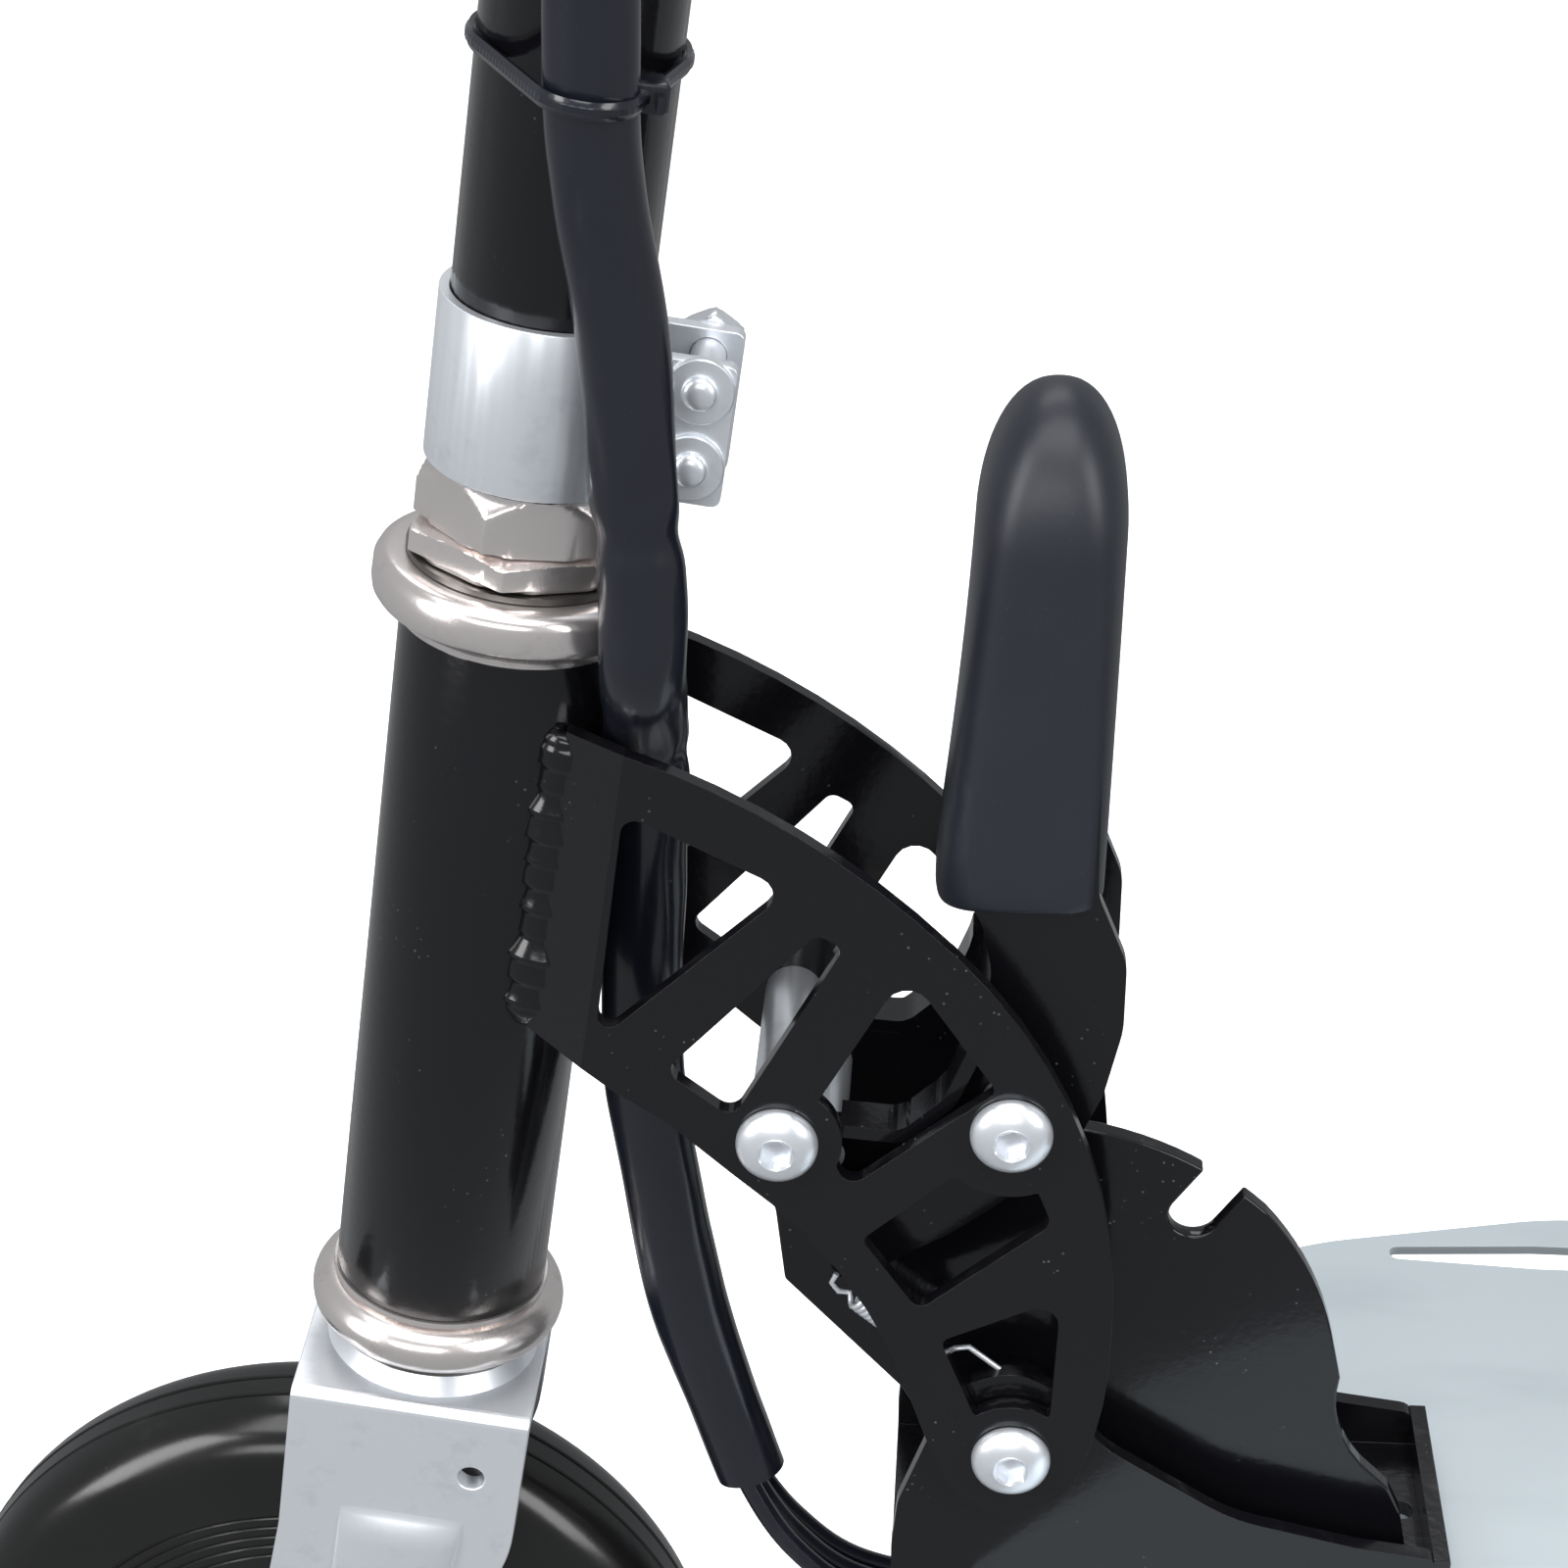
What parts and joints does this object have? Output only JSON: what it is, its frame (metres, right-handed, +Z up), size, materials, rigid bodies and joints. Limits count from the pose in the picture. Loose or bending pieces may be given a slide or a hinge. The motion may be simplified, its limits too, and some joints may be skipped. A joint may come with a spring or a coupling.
{
  "type": "electric kick scooter",
  "caption": "Standing electric scooter with a quick-fold neck, sprung lock lever, chain-driven rear wheel, drum brake, twist throttle and kickstand.",
  "frame": {"origin": "centre of the bounding box's bottom, on the floor between the wheels", "axes": "+X forward, +Y to the rider's left, +Z up"},
  "size_m": [0.813, 0.426, 0.9317],
  "materials": {
    "black_coat": "gloss",
    "galvanised": "satin",
    "grip_mat": "matte",
    "zinc": "bright",
    "nickel": "polished",
    "vinyl": "satin",
    "battery_case": "matte",
    "alloy": "cast",
    "motor_case": "satin",
    "chain_steel": "oiled",
    "tyre": "gloss",
    "hub_plastic": "satin",
    "black_plastic": "satin",
    "red_plastic": "gloss",
    "white_plastic": "gloss",
    "cable_jacket": "gloss",
    "grip_rubber": "matte"
  },
  "bodies": {
    "deck": {"deck_plate": "galvanised", "grip_mat": "grip_mat", "battery_pan": "black_coat", "pan_screws": "zinc", "neck_base": "black_coat", "lock_quadrant": "black_coat", "pivot_bush": "zinc", "battery_front": "battery_case", "battery_rear": "battery_case", "motor_controller": "alloy", "drive_motor": "motor_case", "drive_chain": "chain_steel", "rear_dropouts": "black_coat", "rear_axle": "zinc", "brake_cover": "alloy", "brake_wire": "cable_jacket", "rear_fender": "black_coat", "fender_screws": "zinc", "stand_bracket": "zinc", "charge_socket": "alloy", "switch_housing": "black_plastic"},
    "neck": {"left_ladder_plate": "black_coat", "right_ladder_plate": "black_coat", "head_tube": "black_coat", "headset_cups": "nickel", "headset_bearings": "chain_steel", "cross_bolts": "zinc", "spacer_sleeves": "zinc", "lower_cables": "cable_jacket"},
    "lock_lever": {"lock_lever": "black_coat", "lever_grip": "vinyl", "lock_pin": "zinc", "lock_spring": "zinc"},
    "steering": {"fork": "zinc", "crown_race": "zinc", "headset_nuts": "nickel", "stem": "black_coat", "stem_clamp": "zinc", "clamp_bolts": "zinc", "hand_grips": "grip_rubber", "throttle_housing": "black_plastic", "brake_bracket": "alloy", "front_axle": "zinc", "cable_sleeve": "cable_jacket", "upper_cables": "cable_jacket", "cable_tie": "black_plastic"},
    "front_wheel": {"front_hub": "hub_plastic", "front_tyre": "tyre"},
    "rear_wheel": {"rear_hub": "hub_plastic", "rear_tyre": "tyre", "rear_sprocket": "chain_steel", "brake_drum": "zinc"},
    "motor_rotor": {"motor_sprocket": "chain_steel"},
    "brake_arm": {"brake_arm": "zinc"},
    "brake_lever": {"brake_lever": "alloy"},
    "throttle": {"throttle_grip": "grip_rubber"},
    "kickstand": {"kickstand": "zinc", "stand_foot": "grip_rubber"},
    "switch_rocker": {"switch_rocker": "red_plastic"},
    "breaker_button": {"breaker_button": "white_plastic"}
  },
  "joints": [
    {"name": "fold", "type": "hinge", "parent": "deck", "child": "neck", "pos_m": [0.20086, 0, 0.16061], "axis": [0, -1, 0], "range_deg": [0, 65.8], "deforming": ["lower_cables"]},
    {"name": "lock_release", "type": "hinge", "parent": "neck", "child": "lock_lever", "pos_m": [0.20286, 0, 0.22961], "axis": [0, -1, 0], "range_deg": [-17, 0], "stiffness_Nm_per_rad": 1.6, "springref_deg": -17.02, "deforming": ["lock_spring"]},
    {"name": "steer", "type": "hinge", "parent": "neck", "child": "steering", "pos_m": [0.30836, 0, 0.16061], "axis": [-0.1392, 0, 0.9903], "range_deg": [-45, 45], "deforming": ["cable_sleeve", "upper_cables"]},
    {"name": "front_roll", "type": "hinge", "parent": "steering", "child": "front_wheel", "pos_m": [0.3315, 0, 0.075], "axis": [0, 1, 0], "continuous": true},
    {"name": "rear_roll", "type": "hinge", "parent": "deck", "child": "rear_wheel", "pos_m": [-0.3185, 0, 0.075], "axis": [0, 1, 0], "continuous": true},
    {"name": "motor_turn", "type": "hinge", "parent": "deck", "child": "motor_rotor", "pos_m": [-0.1815, -0.031, 0.09161], "axis": [0, 1, 0], "continuous": true},
    {"name": "brake_pull", "type": "hinge", "parent": "steering", "child": "brake_lever", "pos_m": [0.22734, 0.088, 0.9167], "axis": [-0.1392, 0, 0.9903], "range_deg": [0, 14], "stiffness_Nm_per_rad": 1.2, "springref_deg": -8.59},
    {"name": "brake_arm_turn", "type": "hinge", "parent": "deck", "child": "brake_arm", "pos_m": [-0.2845, 0, 0.049], "axis": [0, -1, 0], "range_deg": [0, 14.2], "deforming": ["brake_wire"]},
    {"name": "throttle_twist", "type": "hinge", "parent": "steering", "child": "throttle", "pos_m": [0.20259, -0.126, 0.91322], "axis": [0, -1, 0], "range_deg": [0, 30], "stiffness_Nm_per_rad": 0.4, "springref_deg": -11.46},
    {"name": "stand_swing", "type": "hinge", "parent": "deck", "child": "kickstand", "pos_m": [0.02, 0.058, 0.04461], "axis": [0, 1, 0], "range_deg": [0, 88]},
    {"name": "power_rock", "type": "hinge", "parent": "deck", "child": "switch_rocker", "pos_m": [-0.1775, 0.079, 0.09761], "axis": [0, 0, 1], "range_deg": [0, 16]},
    {"name": "breaker_press", "type": "slide", "parent": "deck", "child": "breaker_button", "axis": [0, -1, 0], "range_m": [0, 0.0018], "stiffness_N_per_m": 300, "springref_m": -0.001}
  ],
  "couplings": [
    {"joint": "motor_turn", "follows": "rear_roll", "ratio": 5},
    {"joint": "brake_arm_turn", "follows": "brake_pull", "ratio": 1}
  ]
}
